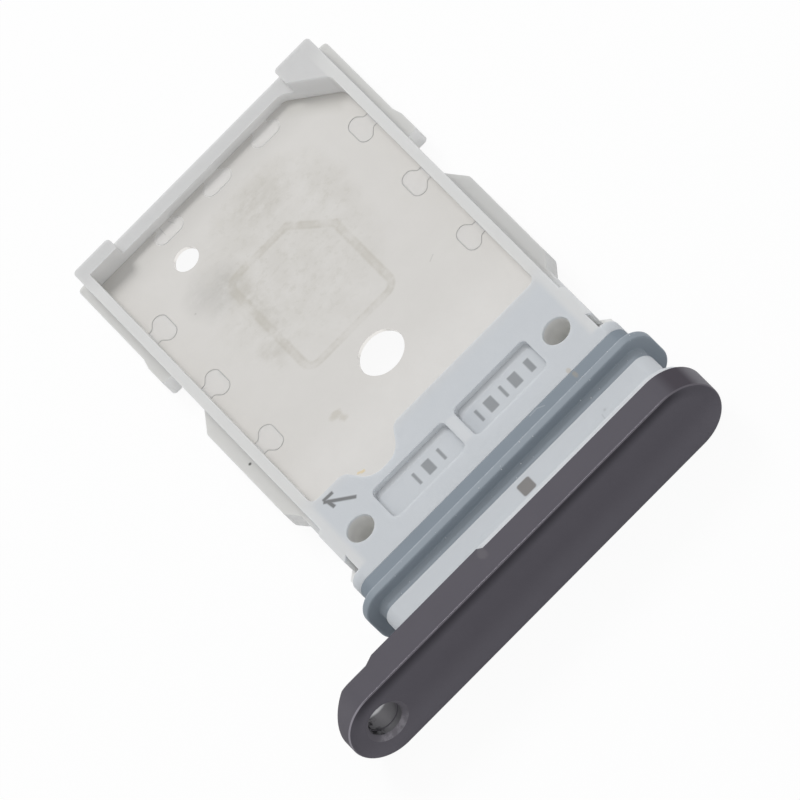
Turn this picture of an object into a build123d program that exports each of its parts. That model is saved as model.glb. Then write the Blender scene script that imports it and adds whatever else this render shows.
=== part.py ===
from build123d import *
import os

# Card that the tray carries, one above the plate and one below it
card_width = 8.80
card_length = 12.30
card_thickness = 0.67
card_gap = 0.06
card_headroom = 0.02
corner_cut = 1.47
cut_round = 0.40
cut_setback = 0.17
cut_setback_height = 0.50
near_round = 0.25

# Stamped steel plate
plate_thickness = 0.12
plate_bite = 0.17
plate_tail = 2.75
push_hole_diameter = 1.52
push_hole_shift = 0.07
push_hole_inset = 2.84
pilot_hole_diameter = 0.83
pilot_hole_side = 2.28
pilot_hole_inset = 1.64

# Slots in the plate's edge that the moulding fills
anchor_reach = 0.73
anchor_span = 1.04
anchor_round = 0.28
anchor_hip = 0.34
anchor_hip_round = 0.20
anchor_neck = 0.54
anchor_throat = 0.15
anchor_throat_round = 0.10
side_anchor_pitch = 2.97
side_anchor_middle = 0.31
far_anchor_shift = 0.08
far_anchor_pitch = 1.97

# Rails, far wall and corner posts
rail_width = 0.33
far_wall_thickness = 0.52
far_wall_height = 0.33
left_post_length = 1.10
right_post_length = 1.05
post_round = 0.14

# Guide wings on the lower half of the rails
wing_thickness = 0.68
far_wing_reach = 0.27
far_wing_length = 4.97
far_wing_round = 0.13
bump_reach = 0.09
bump_length = 0.84
bump_ramp = 0.40
near_wing_reach = 0.46
left_wing_start = 0.02
right_wing_start = 0.20
near_wing_lead = 0.80
near_wing_lead_round = 0.25
near_wing_stop = 5.60
near_wing_tail = 0.50
near_wing_tail_round = 0.30

# Front block
block_length = 2.98
bite_middle = -2.23
bite_mouth = 1.98
bite_floor = 1.00
bite_depth = 0.93
bite_round = 0.70
bite_mouth_round = 0.35
window_width = 2.85
window_height = 1.37
window_gap = 0.40
window_depth = 0.20
window_round = 0.20
window_setback = 1.95
pin_hole_diameter = 0.90
pin_hole_spread = 7.82
pin_hole_shift = 0.04
pin_hole_wall = 0.15
ledge_reach = 0.15
pad_start = 0.86
pad_length = 1.43
shoulder_thickness = 0.40
shoulder_reach = 0.26
shoulder_length = 0.52

# Plug, seal seat and neck in front of the block
plug_overhang = 0.45
flange_length = 0.45
seat_length = 1.40
seat_depth = 0.28
neck_length = 1.06
bond_length = 0.31
bond_inset = 0.18
bond_reach = 0.42
bond_left = 0.21

# Rubber seal
band_drop = 0.04
lip_setback = 0.75
lip_width = 0.23
lip_reach = 0.38
lip_rise = 0.30
lip_back_round = 0.06
lip_front_round = 0.10

# Aluminium bar
bar_length = 14.27
bar_height = 2.54
bar_depth = 0.92
edge_chamfer = 0.045
heel_thickness = 0.14
heel_length = 4.64
heel_setback = 1.93
heel_lead = 0.32
heel_drop = 0.16
tip_bevel_length = 0.95
tip_bevel_depth = 0.42
ejector_diameter = 1.10
ejector_inset = 1.25
ejector_countersink = 0.14
guide_length = 0.23
guide_wall = 0.30

# Values worked out from the sizes above
pocket_width = card_width + 2 * card_gap
pocket_length = card_length + 2 * card_gap
pocket_depth = card_thickness + card_headroom
frame_height = plate_thickness + 2 * pocket_depth
frame_width = pocket_width + 2 * rail_width
plug_length = flange_length + seat_length + neck_length + bond_length
total_length = far_wall_thickness + pocket_length + block_length + plug_length + bar_depth
plug_width = frame_width + 2 * plug_overhang
plug_round = plug_overhang
bond_right_x = plug_width / 2 + bond_reach
bond_left_x = -plug_width / 2 - bond_left
pocket_x = bar_length / 2 - bond_inset - bond_right_x
pocket_y = total_length / 2 - far_wall_thickness - pocket_length / 2
middle_z = bar_height / 2
plate_top = middle_z + plate_thickness / 2
plate_bottom = middle_z - plate_thickness / 2
frame_top = middle_z + frame_height / 2
frame_bottom = middle_z - frame_height / 2
wing_bottom = plate_top - wing_thickness
flange_back = -total_length / 2 + bar_depth + plug_length
seat_back = flange_back - flange_length
neck_back = seat_back - seat_length
bond_back = neck_back - neck_length
bar_back = bond_back - bond_length
bar_front = bar_back - bar_depth
bar_left = -bar_length / 2
ejector_x = bar_left + ejector_inset
ejector_radius = ejector_diameter / 2
heel_left = bar_left + heel_setback
heel_right = heel_left + heel_length

# Places measured from the card's centre in the plane of the plate
side_x = pocket_width / 2
rail_x = frame_width / 2
ledge_x = rail_x + ledge_reach
near_y = -pocket_length / 2
far_y = pocket_length / 2
far_end_y = far_y + far_wall_thickness
block_front_y = near_y - block_length
push_hole_y = near_y + push_hole_inset
pilot_hole_x = -side_x + pilot_hole_side
pilot_hole_y = far_y - pilot_hole_inset
window_y = near_y - window_setback
left_pin_x = -pin_hole_spread / 2 - pin_hole_shift
right_pin_x = pin_hole_spread / 2 - pin_hole_shift
plate_tail_x = right_pin_x - pin_hole_diameter / 2 - pin_hole_wall
near_wing_end = -near_wing_stop
post_left_x = -side_x + left_post_length
post_right_x = side_x - right_post_length
far_anchor_y = far_y + far_anchor_shift
anchor_rows = [side_anchor_middle + n * side_anchor_pitch for n in (-1, 0, 1)]
anchor_columns = [n * far_anchor_pitch for n in (-1, 0, 1)]


def level(z):
    # Plane parallel to the plate, centred on the card
    return Plane(origin=(pocket_x, pocket_y, z))


def across(x, y, z):
    # Plane across the tray that faces the user
    return Plane(origin=(x, y, z), x_dir=(1, 0, 0), z_dir=(0, -1, 0))


def pocket_outline(cut):
    # Card shaped outline with one corner cut off
    cut_start = (side_x, far_y - cut)
    cut_end = (side_x - cut, far_y)
    corners = [(-side_x, near_y), (side_x, near_y), cut_start, cut_end, (-side_x, far_y)]
    FilletPolyline(*corners, radius=[near_round, near_round, cut_round, cut_round, 0], close=True)


def anchor_shapes(mode):
    # Bulbs whose necks run out through the edges of the plate
    places = [Location((side_x, row), 0) for row in anchor_rows]
    places += [Location((-side_x, row), 180) for row in anchor_rows]
    places += [Location((column, far_anchor_y), 90) for column in anchor_columns]
    with Locations(*places):
        add(anchor.sketch, mode=mode)


def near_wing_outline(side, wing_start):
    # Guide wing that runs on as a narrow ledge beside the front block
    wing_x = rail_x + near_wing_reach
    corners = [
        (side * side_x, -wing_start),
        (side * rail_x, -wing_start),
        (side * wing_x, -wing_start - near_wing_lead),
        (side * wing_x, near_wing_end + near_wing_tail),
        (side * ledge_x, near_wing_end),
        (side * ledge_x, block_front_y),
        (side * side_x, block_front_y),
    ]
    rounds = [0, 0, near_wing_lead_round, near_wing_tail_round, 0, 0, 0]
    FilletPolyline(*corners, radius=rounds, close=True)


def plug_section(growth):
    # Rounded section of the plug, grown or shrunk evenly all round
    RectangleRounded(plug_width + 2 * growth, frame_height + 2 * growth, plug_round + growth)


def heel_outline():
    # Low heel on the back of the bar, seen from above
    heel_back = bar_back + heel_thickness
    Polyline(
        (heel_left, bar_back),
        (heel_left + heel_lead, heel_back),
        (heel_right - heel_drop, heel_back),
        (heel_right, bar_back),
        close=True,
    )


# One anchor bulb, with the edge of the pocket at its origin
with BuildSketch() as anchor:
    with BuildLine():
        half_neck = anchor_neck / 2
        half_span = anchor_span / 2
        bulb = [
            (plate_bite, -half_neck),
            (-anchor_throat, -half_neck),
            (-anchor_hip, -half_span),
            (-anchor_reach, -half_span),
            (-anchor_reach, half_span),
            (-anchor_hip, half_span),
            (-anchor_throat, half_neck),
            (plate_bite, half_neck),
        ]
        half_rounds = [0, anchor_throat_round, anchor_hip_round, anchor_round]
        FilletPolyline(*bulb, radius=half_rounds + half_rounds[::-1], close=True)
    make_face()

# Steel plate, one blanked sheet that the moulding is cast round
with BuildPart() as steel_plate:
    with BuildSketch(level(plate_bottom)):
        with BuildLine():
            plate_x = side_x + plate_bite
            plate_far = far_y + plate_bite
            plate_near = near_y - plate_bite
            tail_near = near_y - plate_tail
            Polyline(
                (-plate_tail_x, tail_near),
                (plate_tail_x, tail_near),
                (plate_tail_x, plate_near),
                (plate_x, plate_near),
                (plate_x, plate_far - corner_cut),
                (plate_x - corner_cut, plate_far),
                (-plate_x, plate_far),
                (-plate_x, plate_near),
                (-plate_tail_x, plate_near),
                close=True,
            )
        make_face()
        with Locations((-push_hole_shift, push_hole_y)):
            Circle(push_hole_diameter / 2, mode=Mode.SUBTRACT)
        with Locations((pilot_hole_x, pilot_hole_y)):
            Circle(pilot_hole_diameter / 2, mode=Mode.SUBTRACT)
        anchor_shapes(Mode.SUBTRACT)
    extrude(amount=plate_thickness)

# Plastic frame, one moulding with a card pocket above and below the plate
with BuildPart() as plastic_frame:
    # Block of the tray proper, with rounded far corners
    with BuildSketch(level(frame_bottom)):
        with BuildLine():
            body_corners = [
                (-rail_x, block_front_y),
                (rail_x, block_front_y),
                (rail_x, far_end_y),
                (-rail_x, far_end_y),
            ]
            FilletPolyline(*body_corners, radius=[0, 0, post_round, post_round], close=True)
        make_face()
    extrude(amount=frame_height)

    # Far wings, each with a small bump near its inner end
    with BuildSketch(level(wing_bottom)):
        with BuildLine():
            wing_x = rail_x + far_wing_reach
            wing_end = far_end_y - far_wing_length
            bump_x = wing_x + bump_reach
            bump_full = wing_end + bump_length
            wing_corners = [
                (side_x, wing_end),
                (bump_x, wing_end),
                (bump_x, bump_full),
                (wing_x, bump_full + bump_ramp),
                (wing_x, far_end_y),
                (side_x, far_end_y),
            ]
            FilletPolyline(*wing_corners, radius=[0, far_wing_round, 0, 0, far_wing_round, 0], close=True)
        make_face()
        mirror(about=Plane.YZ)
    extrude(amount=wing_thickness)

    # Near wings, which start at different places on the two sides
    with BuildSketch(level(wing_bottom)):
        for side, wing_start in ((-1, left_wing_start), (1, right_wing_start)):
            with BuildLine():
                near_wing_outline(side, wing_start)
            make_face()
    extrude(amount=wing_thickness)

    # Shoulders that spread the ledges out to the flange
    with BuildSketch(level(plate_top - shoulder_thickness)):
        with BuildLine():
            shoulder_x = ledge_x + shoulder_reach
            shoulder_full = block_front_y + shoulder_length
            Polyline(
                (side_x, shoulder_full + shoulder_reach),
                (ledge_x, shoulder_full + shoulder_reach),
                (shoulder_x, shoulder_full),
                (shoulder_x, block_front_y),
                (side_x, block_front_y),
                close=True,
            )
        make_face()
        mirror(about=Plane.YZ)
    extrude(amount=shoulder_thickness)

    # Raised pads on both flanks of the front block
    with BuildSketch(level(plate_top)):
        with BuildLine():
            pad_far = near_y - pad_start
            pad_near = pad_far - pad_length
            Polyline(
                (side_x, pad_far),
                (rail_x, pad_far),
                (ledge_x, pad_far - ledge_reach),
                (ledge_x, pad_near - ledge_reach),
                (rail_x, pad_near),
                (side_x, pad_near),
                close=True,
            )
        make_face()
        mirror(about=Plane.YZ)
    extrude(amount=pocket_depth)

    # Card pocket above the plate, whose cut corner leans back towards the top
    draft_foot = frame_top - cut_setback_height
    top_cut = corner_cut - cut_setback * 2**0.5
    with BuildSketch(level(plate_top)):
        with BuildLine():
            pocket_outline(corner_cut)
        make_face()
    extrude(amount=draft_foot - plate_top, mode=Mode.SUBTRACT)
    with BuildSketch(level(draft_foot)):
        with BuildLine():
            pocket_outline(corner_cut)
        make_face()
    with BuildSketch(level(frame_top)):
        with BuildLine():
            pocket_outline(top_cut)
        make_face()
    loft(ruled=True, mode=Mode.SUBTRACT)

    # Finger bite in the front block
    with BuildSketch(level(plate_top)):
        with BuildLine():
            bite_side = bite_mouth / 2
            bite_open = bite_side + bite_mouth_round
            bite_corners = [
                (bite_middle - bite_open, near_y + bite_mouth_round),
                (bite_middle - bite_open, near_y),
                (bite_middle - bite_side, near_y),
                (bite_middle - bite_floor / 2, near_y - bite_depth),
                (bite_middle + bite_floor / 2, near_y - bite_depth),
                (bite_middle + bite_side, near_y),
                (bite_middle + bite_open, near_y),
                (bite_middle + bite_open, near_y + bite_mouth_round),
            ]
            bite_rounds = [0, 0, bite_mouth_round, bite_round]
            FilletPolyline(*bite_corners, radius=bite_rounds + bite_rounds[::-1], close=True)
        make_face()
    extrude(amount=pocket_depth, mode=Mode.SUBTRACT)

    # Card pocket below the plate
    with BuildSketch(level(frame_bottom)):
        with BuildLine():
            pocket_outline(corner_cut)
        make_face()
    extrude(amount=frame_height - pocket_depth, mode=Mode.SUBTRACT)

    # Far wall is lower between the two corner posts, whose outer edges are rounded
    with BuildSketch(level(plate_top + far_wall_height)):
        with BuildLine():
            dip_near = far_y - corner_cut
            dip_far = far_end_y + far_wall_thickness
            dip_flare = 2 * post_round
            dip_corners = [
                (post_left_x, dip_near),
                (post_right_x, dip_near),
                (post_right_x, far_end_y),
                (post_right_x + dip_flare, far_end_y),
                (post_right_x + dip_flare, dip_far),
                (post_left_x - dip_flare, dip_far),
                (post_left_x - dip_flare, far_end_y),
                (post_left_x, far_end_y),
            ]
            dip_rounds = [0, 0, post_round, 0, 0, 0, 0, post_round]
            FilletPolyline(*dip_corners, radius=dip_rounds, close=True)
        make_face()
    extrude(amount=pocket_depth, mode=Mode.SUBTRACT)

    # Plastic that fills the anchor slots of the plate
    with BuildSketch(level(plate_bottom)):
        anchor_shapes(Mode.ADD)
    extrude(amount=plate_thickness)

    # Code windows, left bare, and the two holes of the pins that hold the tray in the mould
    with BuildSketch(level(frame_top - window_depth)):
        with Locations(*[(side * (window_gap + window_width) / 2, window_y) for side in (-1, 1)]):
            RectangleRounded(window_width, window_height, window_round)
    extrude(amount=window_depth, mode=Mode.SUBTRACT)
    with BuildSketch(level(frame_bottom)):
        with Locations((left_pin_x, window_y), (right_pin_x, window_y)):
            Circle(pin_hole_diameter / 2)
    extrude(amount=frame_height, mode=Mode.SUBTRACT)

    # Plug: flange, seal seat, neck and the plate that the bar is bonded to
    with BuildSketch(across(pocket_x, flange_back, middle_z)):
        plug_section(0)
    extrude(amount=flange_length)
    with BuildSketch(across(pocket_x, seat_back, middle_z)):
        plug_section(-seat_depth)
    extrude(amount=seat_length)
    with BuildSketch(across(pocket_x, neck_back, middle_z)):
        plug_section(0)
    extrude(amount=neck_length)
    with BuildSketch(across(pocket_x, bond_back, middle_z)):
        with Locations(((bond_right_x + bond_left_x) / 2, 0)):
            SlotOverall(bond_right_x - bond_left_x, bar_height - 2 * bond_inset)
    extrude(amount=bond_length)

    # Room for the heel of the bar, and for the plate
    with BuildSketch(Plane.XY):
        with BuildLine():
            heel_outline()
        make_face()
    extrude(amount=bar_height, mode=Mode.SUBTRACT)
    add(steel_plate.part, mode=Mode.SUBTRACT)

# Seal ring, a flat band with a rounded wiper lip
with BuildPart() as seal_ring:
    with BuildSketch(across(pocket_x, seat_back - lip_setback, middle_z)):
        RectangleRounded(plug_width + 2 * lip_reach, frame_height + 2 * lip_rise, plug_round + lip_rise)
    extrude(amount=lip_width)
    fillet(seal_ring.faces().filter_by(Axis.Y).sort_by(Axis.Y)[-1].edges(), lip_back_round)
    fillet(seal_ring.faces().filter_by(Axis.Y).sort_by(Axis.Y)[0].edges(), lip_front_round)
    with BuildSketch(across(pocket_x, seat_back, middle_z)):
        plug_section(-band_drop)
    extrude(amount=seat_length)
    with BuildSketch(across(pocket_x, seat_back, middle_z)):
        plug_section(-seat_depth)
    extrude(amount=seat_length, mode=Mode.SUBTRACT)

# Face bar, with a heel on its back and a bevel behind the end that is pried out first
with BuildPart() as face_bar:
    with BuildSketch(across(0, bar_back, middle_z)):
        SlotOverall(bar_length, bar_height)
    extrude(amount=bar_depth)
    chamfer(face_bar.faces().sort_by(Axis.Y)[0].edges(), edge_chamfer)
    with BuildSketch(Plane.XY):
        with BuildLine():
            heel_outline()
        make_face()
    extrude(amount=bar_height)
    with BuildSketch(Plane.XY):
        with BuildLine():
            bevel_corner = (bar_left, bar_back)
            bevel_side = (bar_left, bar_back - tip_bevel_depth)
            bevel_rear = (bar_left + tip_bevel_length, bar_back)
            Polyline(bevel_corner, bevel_side, bevel_rear, close=True)
        make_face()
    extrude(amount=bar_height, mode=Mode.SUBTRACT)

    # Ejector hole in the rounded end, with a short guide behind and a countersunk mouth
    with BuildSketch(across(ejector_x, bar_back + guide_length, middle_z)):
        Circle(ejector_radius + guide_wall)
    extrude(amount=guide_length + tip_bevel_depth)
    with Locations(across(ejector_x, bar_front, middle_z)):
        CounterSinkHole(ejector_radius, ejector_radius + ejector_countersink, counter_sink_angle=90)

os.makedirs("parts", exist_ok=True)
steel_plate.part.label = "steel_plate"
plastic_frame.part.label = "plastic_frame"
seal_ring.part.label = "seal_ring"
face_bar.part.label = "face_bar"
export_step(steel_plate.part, "parts/steel_plate.step")
export_step(plastic_frame.part, "parts/plastic_frame.step")
export_step(seal_ring.part, "parts/seal_ring.step")
export_step(face_bar.part, "parts/face_bar.step")
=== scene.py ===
import math
import bmesh
import bpy
from mathutils import Matrix, Vector


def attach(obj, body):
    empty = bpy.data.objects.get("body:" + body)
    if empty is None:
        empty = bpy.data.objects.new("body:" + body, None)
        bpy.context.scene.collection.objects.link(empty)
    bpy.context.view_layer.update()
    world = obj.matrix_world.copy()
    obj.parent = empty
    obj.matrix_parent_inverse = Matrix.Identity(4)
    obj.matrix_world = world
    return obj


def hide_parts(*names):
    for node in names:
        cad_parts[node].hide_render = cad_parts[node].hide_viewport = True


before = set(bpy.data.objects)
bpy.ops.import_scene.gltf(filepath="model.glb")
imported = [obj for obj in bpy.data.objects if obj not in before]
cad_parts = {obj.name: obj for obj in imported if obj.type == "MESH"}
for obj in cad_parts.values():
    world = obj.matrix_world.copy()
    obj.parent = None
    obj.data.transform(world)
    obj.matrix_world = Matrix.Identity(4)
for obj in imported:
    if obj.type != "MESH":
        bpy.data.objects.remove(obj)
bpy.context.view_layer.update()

unit = 0.001  # metres in a millimetre
mergeGap = 2e-7  # metres, points closer than this are one
cardCentre = Vector((1.295, 3.30, 1.27))  # middle of the card, level with the middle of the plate
plateTop = 0.06  # above the card's centre
scene = bpy.context.scene


# General helpers

def looseObject(name, data):
    made = bpy.data.objects.new(name, data)
    scene.collection.objects.link(made)
    return made


def linkPiece(name, mesh, node=None):
    piece = looseObject(name, mesh)
    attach(piece, "root")
    if node:
        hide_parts(node)
    return piece


def paint(piece, *materials):
    for material in materials:
        piece.data.materials.append(material)


def meshFrom(name, vertices, faces):
    mesh = bpy.data.meshes.new(name)
    mesh.from_pydata([tuple(v * unit for v in point) for point in vertices], [], faces)
    shape = bmesh.new()
    shape.from_mesh(mesh)
    bmesh.ops.recalc_face_normals(shape, faces=shape.faces)
    shape.to_mesh(mesh)
    shape.free()
    return mesh


def loft(name, loops, ring=False):
    count = len(loops[0])
    rows = len(loops)
    vertices = [point for loop in loops for point in loop]
    faces = []
    for row in range(rows if ring else rows - 1):
        after = (row + 1) % rows
        for k in range(count):
            n = (k + 1) % count
            faces.append((row * count + k, row * count + n, after * count + n, after * count + k))
    if not ring:
        faces.append(tuple(range(count))[::-1])
        faces.append(tuple((rows - 1) * count + k for k in range(count)))
    return meshFrom(name, vertices, faces)


def roundedSection(width, height, radius, y, centreX, centreZ, steps):
    # Rounded rectangle across the tray, as one closed loop of points
    points = []
    for cornerX, cornerZ, start in ((1, 1, 0), (-1, 1, 90), (-1, -1, 180), (1, -1, 270)):
        middleX = centreX + cornerX * (width / 2 - radius)
        middleZ = centreZ + cornerZ * (height / 2 - radius)
        for k in range(steps + 1):
            angle = math.radians(start + 90 * k / steps)
            points.append((middleX + radius * math.cos(angle), y, middleZ + radius * math.sin(angle)))
    return points


def quarter(count):
    # Pairs of sine and cosine over a quarter turn
    angles = [math.pi / 2 * k / count for k in range(count + 1)]
    return [(math.sin(angle), math.cos(angle)) for angle in angles]


def mergedCopy(node):
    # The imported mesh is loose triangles, so the copy is merged and its flat faces joined
    source = bmesh.new()
    source.from_mesh(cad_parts[node].data)
    flat = math.radians(0.4)
    bmesh.ops.remove_doubles(source, verts=source.verts, dist=mergeGap)
    bmesh.ops.dissolve_limit(source, angle_limit=flat, verts=source.verts, edges=source.edges)
    bmesh.ops.recalc_face_normals(source, faces=source.faces)
    return source


def edgeAngle(edge):
    if len(edge.link_faces) != 2:
        return 0.0
    return edge.calc_face_angle(0.0)


def fromCard(edge):
    # Both ends of an edge, in millimetres from the card's centre
    return [v.co / unit - cardCentre for v in edge.verts]


def bevelEdges(source, edges, width, segments, material=-1):
    if edges:
        bmesh.ops.bevel(
            source, geom=edges, offset=width * unit, offset_type="OFFSET", segments=segments, profile=0.5,
            affect="EDGES", clamp_overlap=False, material=material, loop_slide=True,
        )


def finishMesh(source, name, sharpDegrees):
    # Bevels that run out at a corner leave edges of no length, which are taken out
    bmesh.ops.dissolve_degenerate(source, dist=mergeGap, edges=source.edges)
    for face in source.faces:
        face.smooth = True
    for edge in source.edges:
        edge.smooth = edgeAngle(edge) < math.radians(sharpDegrees)
    mesh = bpy.data.meshes.new(name)
    source.to_mesh(mesh)
    source.free()
    return mesh


def weightNormals(piece):
    weighted = piece.modifiers.new("evenNormals", "WEIGHTED_NORMAL")
    weighted.mode = "FACE_AREA"
    weighted.weight = 80
    weighted.keep_sharp = True


def evaluatedMesh(holder):
    return bpy.data.meshes.new_from_object(holder.evaluated_get(bpy.context.evaluated_depsgraph_get()))


def combine(target, tool, operation):
    change = target.modifiers.new("combine", "BOOLEAN")
    change.operation = operation
    change.solver = "EXACT"
    change.object = tool
    result = evaluatedMesh(target)
    target.modifiers.remove(change)
    target.data = result
    bpy.data.objects.remove(tool)


# Shader helpers

def newMaterial(name):
    material = bpy.data.materials.new(name)
    material.use_nodes = True
    tree = material.node_tree
    return material, tree, tree.nodes["Principled BSDF"]


def feed(tree, socket, value):
    # A socket, a colour of three numbers, or a number
    if isinstance(value, bpy.types.NodeSocket):
        tree.links.new(value, socket)
    elif isinstance(value, tuple):
        socket.default_value = (*value, 1)
    else:
        socket.default_value = value


def math2(tree, operation, first, second=0.0):
    node = tree.nodes.new("ShaderNodeMath")
    node.operation = operation
    feed(tree, node.inputs[0], first)
    feed(tree, node.inputs[1], second)
    return node.outputs[0]


def plus(tree, first, second):
    return math2(tree, "ADD", first, second)


def minus(tree, first, second):
    return math2(tree, "SUBTRACT", first, second)


def times(tree, first, *others):
    for other in others:
        first = math2(tree, "MULTIPLY", first, other)
    return first


def size(tree, value):
    return math2(tree, "ABSOLUTE", value)


def strongest(tree, values):
    result = values[0]
    for value in values[1:]:
        result = math2(tree, "MAXIMUM", result, value)
    return result


def hypotenuse(tree, first, second):
    return math2(tree, "SQRT", plus(tree, times(tree, first, first), times(tree, second, second)))


def smoothRange(tree, value, low, high, outLow=0.0, outHigh=1.0):
    node = tree.nodes.new("ShaderNodeMapRange")
    node.interpolation_type = "SMOOTHSTEP"
    amounts = {"Value": value, "From Min": low, "From Max": high, "To Min": outLow, "To Max": outHigh}
    for name, amount in amounts.items():
        feed(tree, node.inputs[name], amount)
    return node.outputs["Result"]


def noise(tree, place, scale, detail=3.0, rough=0.5):
    node = tree.nodes.new("ShaderNodeTexNoise")
    for name, amount in {"Vector": place, "Scale": scale, "Detail": detail, "Roughness": rough}.items():
        feed(tree, node.inputs[name], amount)
    return node.outputs["Fac"]


def mixColour(tree, factor, first, second):
    node = tree.nodes.new("ShaderNodeMix")
    node.data_type = "RGBA"
    feed(tree, node.inputs["Factor"], factor)
    feed(tree, node.inputs[6], first)
    feed(tree, node.inputs[7], second)
    return node.outputs[2]


def mixNumber(tree, factor, first, second):
    node = tree.nodes.new("ShaderNodeMix")
    feed(tree, node.inputs["Factor"], factor)
    feed(tree, node.inputs[2], first)
    feed(tree, node.inputs[3], second)
    return node.outputs[0]


def layered(tree, base, coats):
    # Coats of colour one over another, each with its mask and its share
    for mask, share, colour in coats:
        base = mixColour(tree, times(tree, mask, share), base, colour)
    return base


def objectPlace(tree):
    return tree.nodes.new("ShaderNodeTexCoord").outputs["Object"]


def cardPlane(tree):
    # Millimetres from the card's centre
    parts = tree.nodes.new("ShaderNodeSeparateXYZ")
    tree.links.new(objectPlace(tree), parts.inputs[0])
    return [minus(tree, math2(tree, "DIVIDE", parts.outputs[k], unit), cardCentre[k]) for k in range(3)]


def stretched(tree, place, along, across):
    # Object coordinates scaled apart, so that noise turns into streaks
    node = tree.nodes.new("ShaderNodeMapping")
    tree.links.new(place, node.inputs["Vector"])
    node.inputs["Scale"].default_value = (along, across, 1.0)
    return node.outputs["Vector"]


def noted(tree, name):
    # Number stored on the mesh
    node = tree.nodes.new("ShaderNodeAttribute")
    node.attribute_name = name
    return node.outputs["Fac"]


def within(tree, x, y, centre, radius, soft):
    # One inside an upright cylinder, at any height
    away = hypotenuse(tree, minus(tree, x, centre[0]), minus(tree, y, centre[1]))
    return smoothRange(tree, away, radius + soft, radius - soft)


def addBump(tree, shader, height, strength, distance):
    node = tree.nodes.new("ShaderNodeBump")
    node.inputs["Strength"].default_value = strength
    node.inputs["Distance"].default_value = distance * unit
    tree.links.new(height, node.inputs["Height"])
    tree.links.new(node.outputs["Normal"], shader.inputs["Normal"])


def finishLook(tree, shader, base, roughness, gloss):
    tree.links.new(base, shader.inputs["Base Color"])
    shader.inputs["Roughness"].default_value = roughness
    shader.inputs["Specular IOR Level"].default_value = gloss


def newGroup(name, inputs, output):
    group = bpy.data.node_groups.new(name, "ShaderNodeTree")
    for label, default in inputs.items():
        socket = group.interface.new_socket(label, in_out="INPUT", socket_type="NodeSocketFloat")
        socket.default_value = default
    group.interface.new_socket(output, in_out="OUTPUT", socket_type="NodeSocketFloat")
    entry = group.nodes.new("NodeGroupInput")
    leave = group.nodes.new("NodeGroupOutput")
    return group, entry.outputs, leave.inputs


def onUpperFaces(tree, cover, z, leave):
    tree.links.new(times(tree, cover, math2(tree, "GREATER_THAN", z, 0.0)), leave[0])


def makeBlotGroup():
    # Soft blot with a ragged rim, for stains
    inputs = {"centreX": 0, "centreY": 0, "reachX": 1, "reachY": 1, "grain": 900, "ragged": 0.6}
    tree, entry, leave = newGroup("blot", inputs, "Amount")
    x, y, z = cardPlane(tree)
    alongX = math2(tree, "DIVIDE", minus(tree, x, entry["centreX"]), entry["reachX"])
    alongY = math2(tree, "DIVIDE", minus(tree, y, entry["centreY"]), entry["reachY"])
    squared = plus(tree, times(tree, alongX, alongX), times(tree, alongY, alongY))
    rim = noise(tree, objectPlace(tree), entry["grain"], 4.0)
    shift = times(tree, minus(tree, rim, 0.5), times(tree, entry["ragged"], 4.0))
    onUpperFaces(tree, smoothRange(tree, plus(tree, squared, shift), 1.2, 0.0), z, leave)
    return tree


def makeMarkGroup():
    # Mark with straight or rounded sides, turned by an angle, used for print, specks, painted shade and
    # painted light
    inputs = {"centreX": 0, "centreY": 0, "halfX": 0.2, "halfY": 0.2, "angle": 0, "round": 0.02, "soft": 0.02}
    tree, entry, leave = newGroup("mark", inputs, "Amount")
    x, y, z = cardPlane(tree)
    fromX = minus(tree, x, entry["centreX"])
    fromY = minus(tree, y, entry["centreY"])
    cosine = math2(tree, "COSINE", entry["angle"])
    sine = math2(tree, "SINE", entry["angle"])
    sideX = plus(tree, times(tree, fromX, cosine), times(tree, fromY, sine))
    sideY = minus(tree, times(tree, fromY, cosine), times(tree, fromX, sine))
    overX = plus(tree, minus(tree, size(tree, sideX), entry["halfX"]), entry["round"])
    overY = plus(tree, minus(tree, size(tree, sideY), entry["halfY"]), entry["round"])
    outside = hypotenuse(tree, math2(tree, "MAXIMUM", overX, 0.0), math2(tree, "MAXIMUM", overY, 0.0))
    inside = math2(tree, "MINIMUM", math2(tree, "MAXIMUM", overX, overY), 0.0)
    distance = minus(tree, plus(tree, outside, inside), entry["round"])
    cover = smoothRange(tree, distance, entry["soft"], times(tree, entry["soft"], -1.0))
    onUpperFaces(tree, cover, z, leave)
    return tree


def useGroup(tree, group, values):
    node = tree.nodes.new("ShaderNodeGroup")
    node.node_tree = group
    for label, value in values.items():
        node.inputs[label].default_value = value
    return node.outputs[0]


def blots(tree, rows):
    # Each row has a centre, a reach, the grain of its rim and how ragged that is
    found = []
    for (x, y), (reachX, reachY), grain, ragged in rows:
        values = {"centreX": x, "centreY": y, "reachX": reachX, "reachY": reachY, "grain": grain,
                  "ragged": ragged}
        found.append(useGroup(tree, blotGroup, values))
    return strongest(tree, found)


def marks(tree, rows):
    # Each row has a centre, half sizes, corner radius, softness and turn in radians
    found = []
    for (x, y), (halfX, halfY), corner, soft, turn in rows:
        values = {"centreX": x, "centreY": y, "halfX": halfX, "halfY": halfY}
        found.append(useGroup(tree, markGroup, {**values, "angle": turn, "round": corner, "soft": soft}))
    return strongest(tree, found)


blotGroup = makeBlotGroup()
markGroup = makeMarkGroup()
print("helpers ready")


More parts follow.
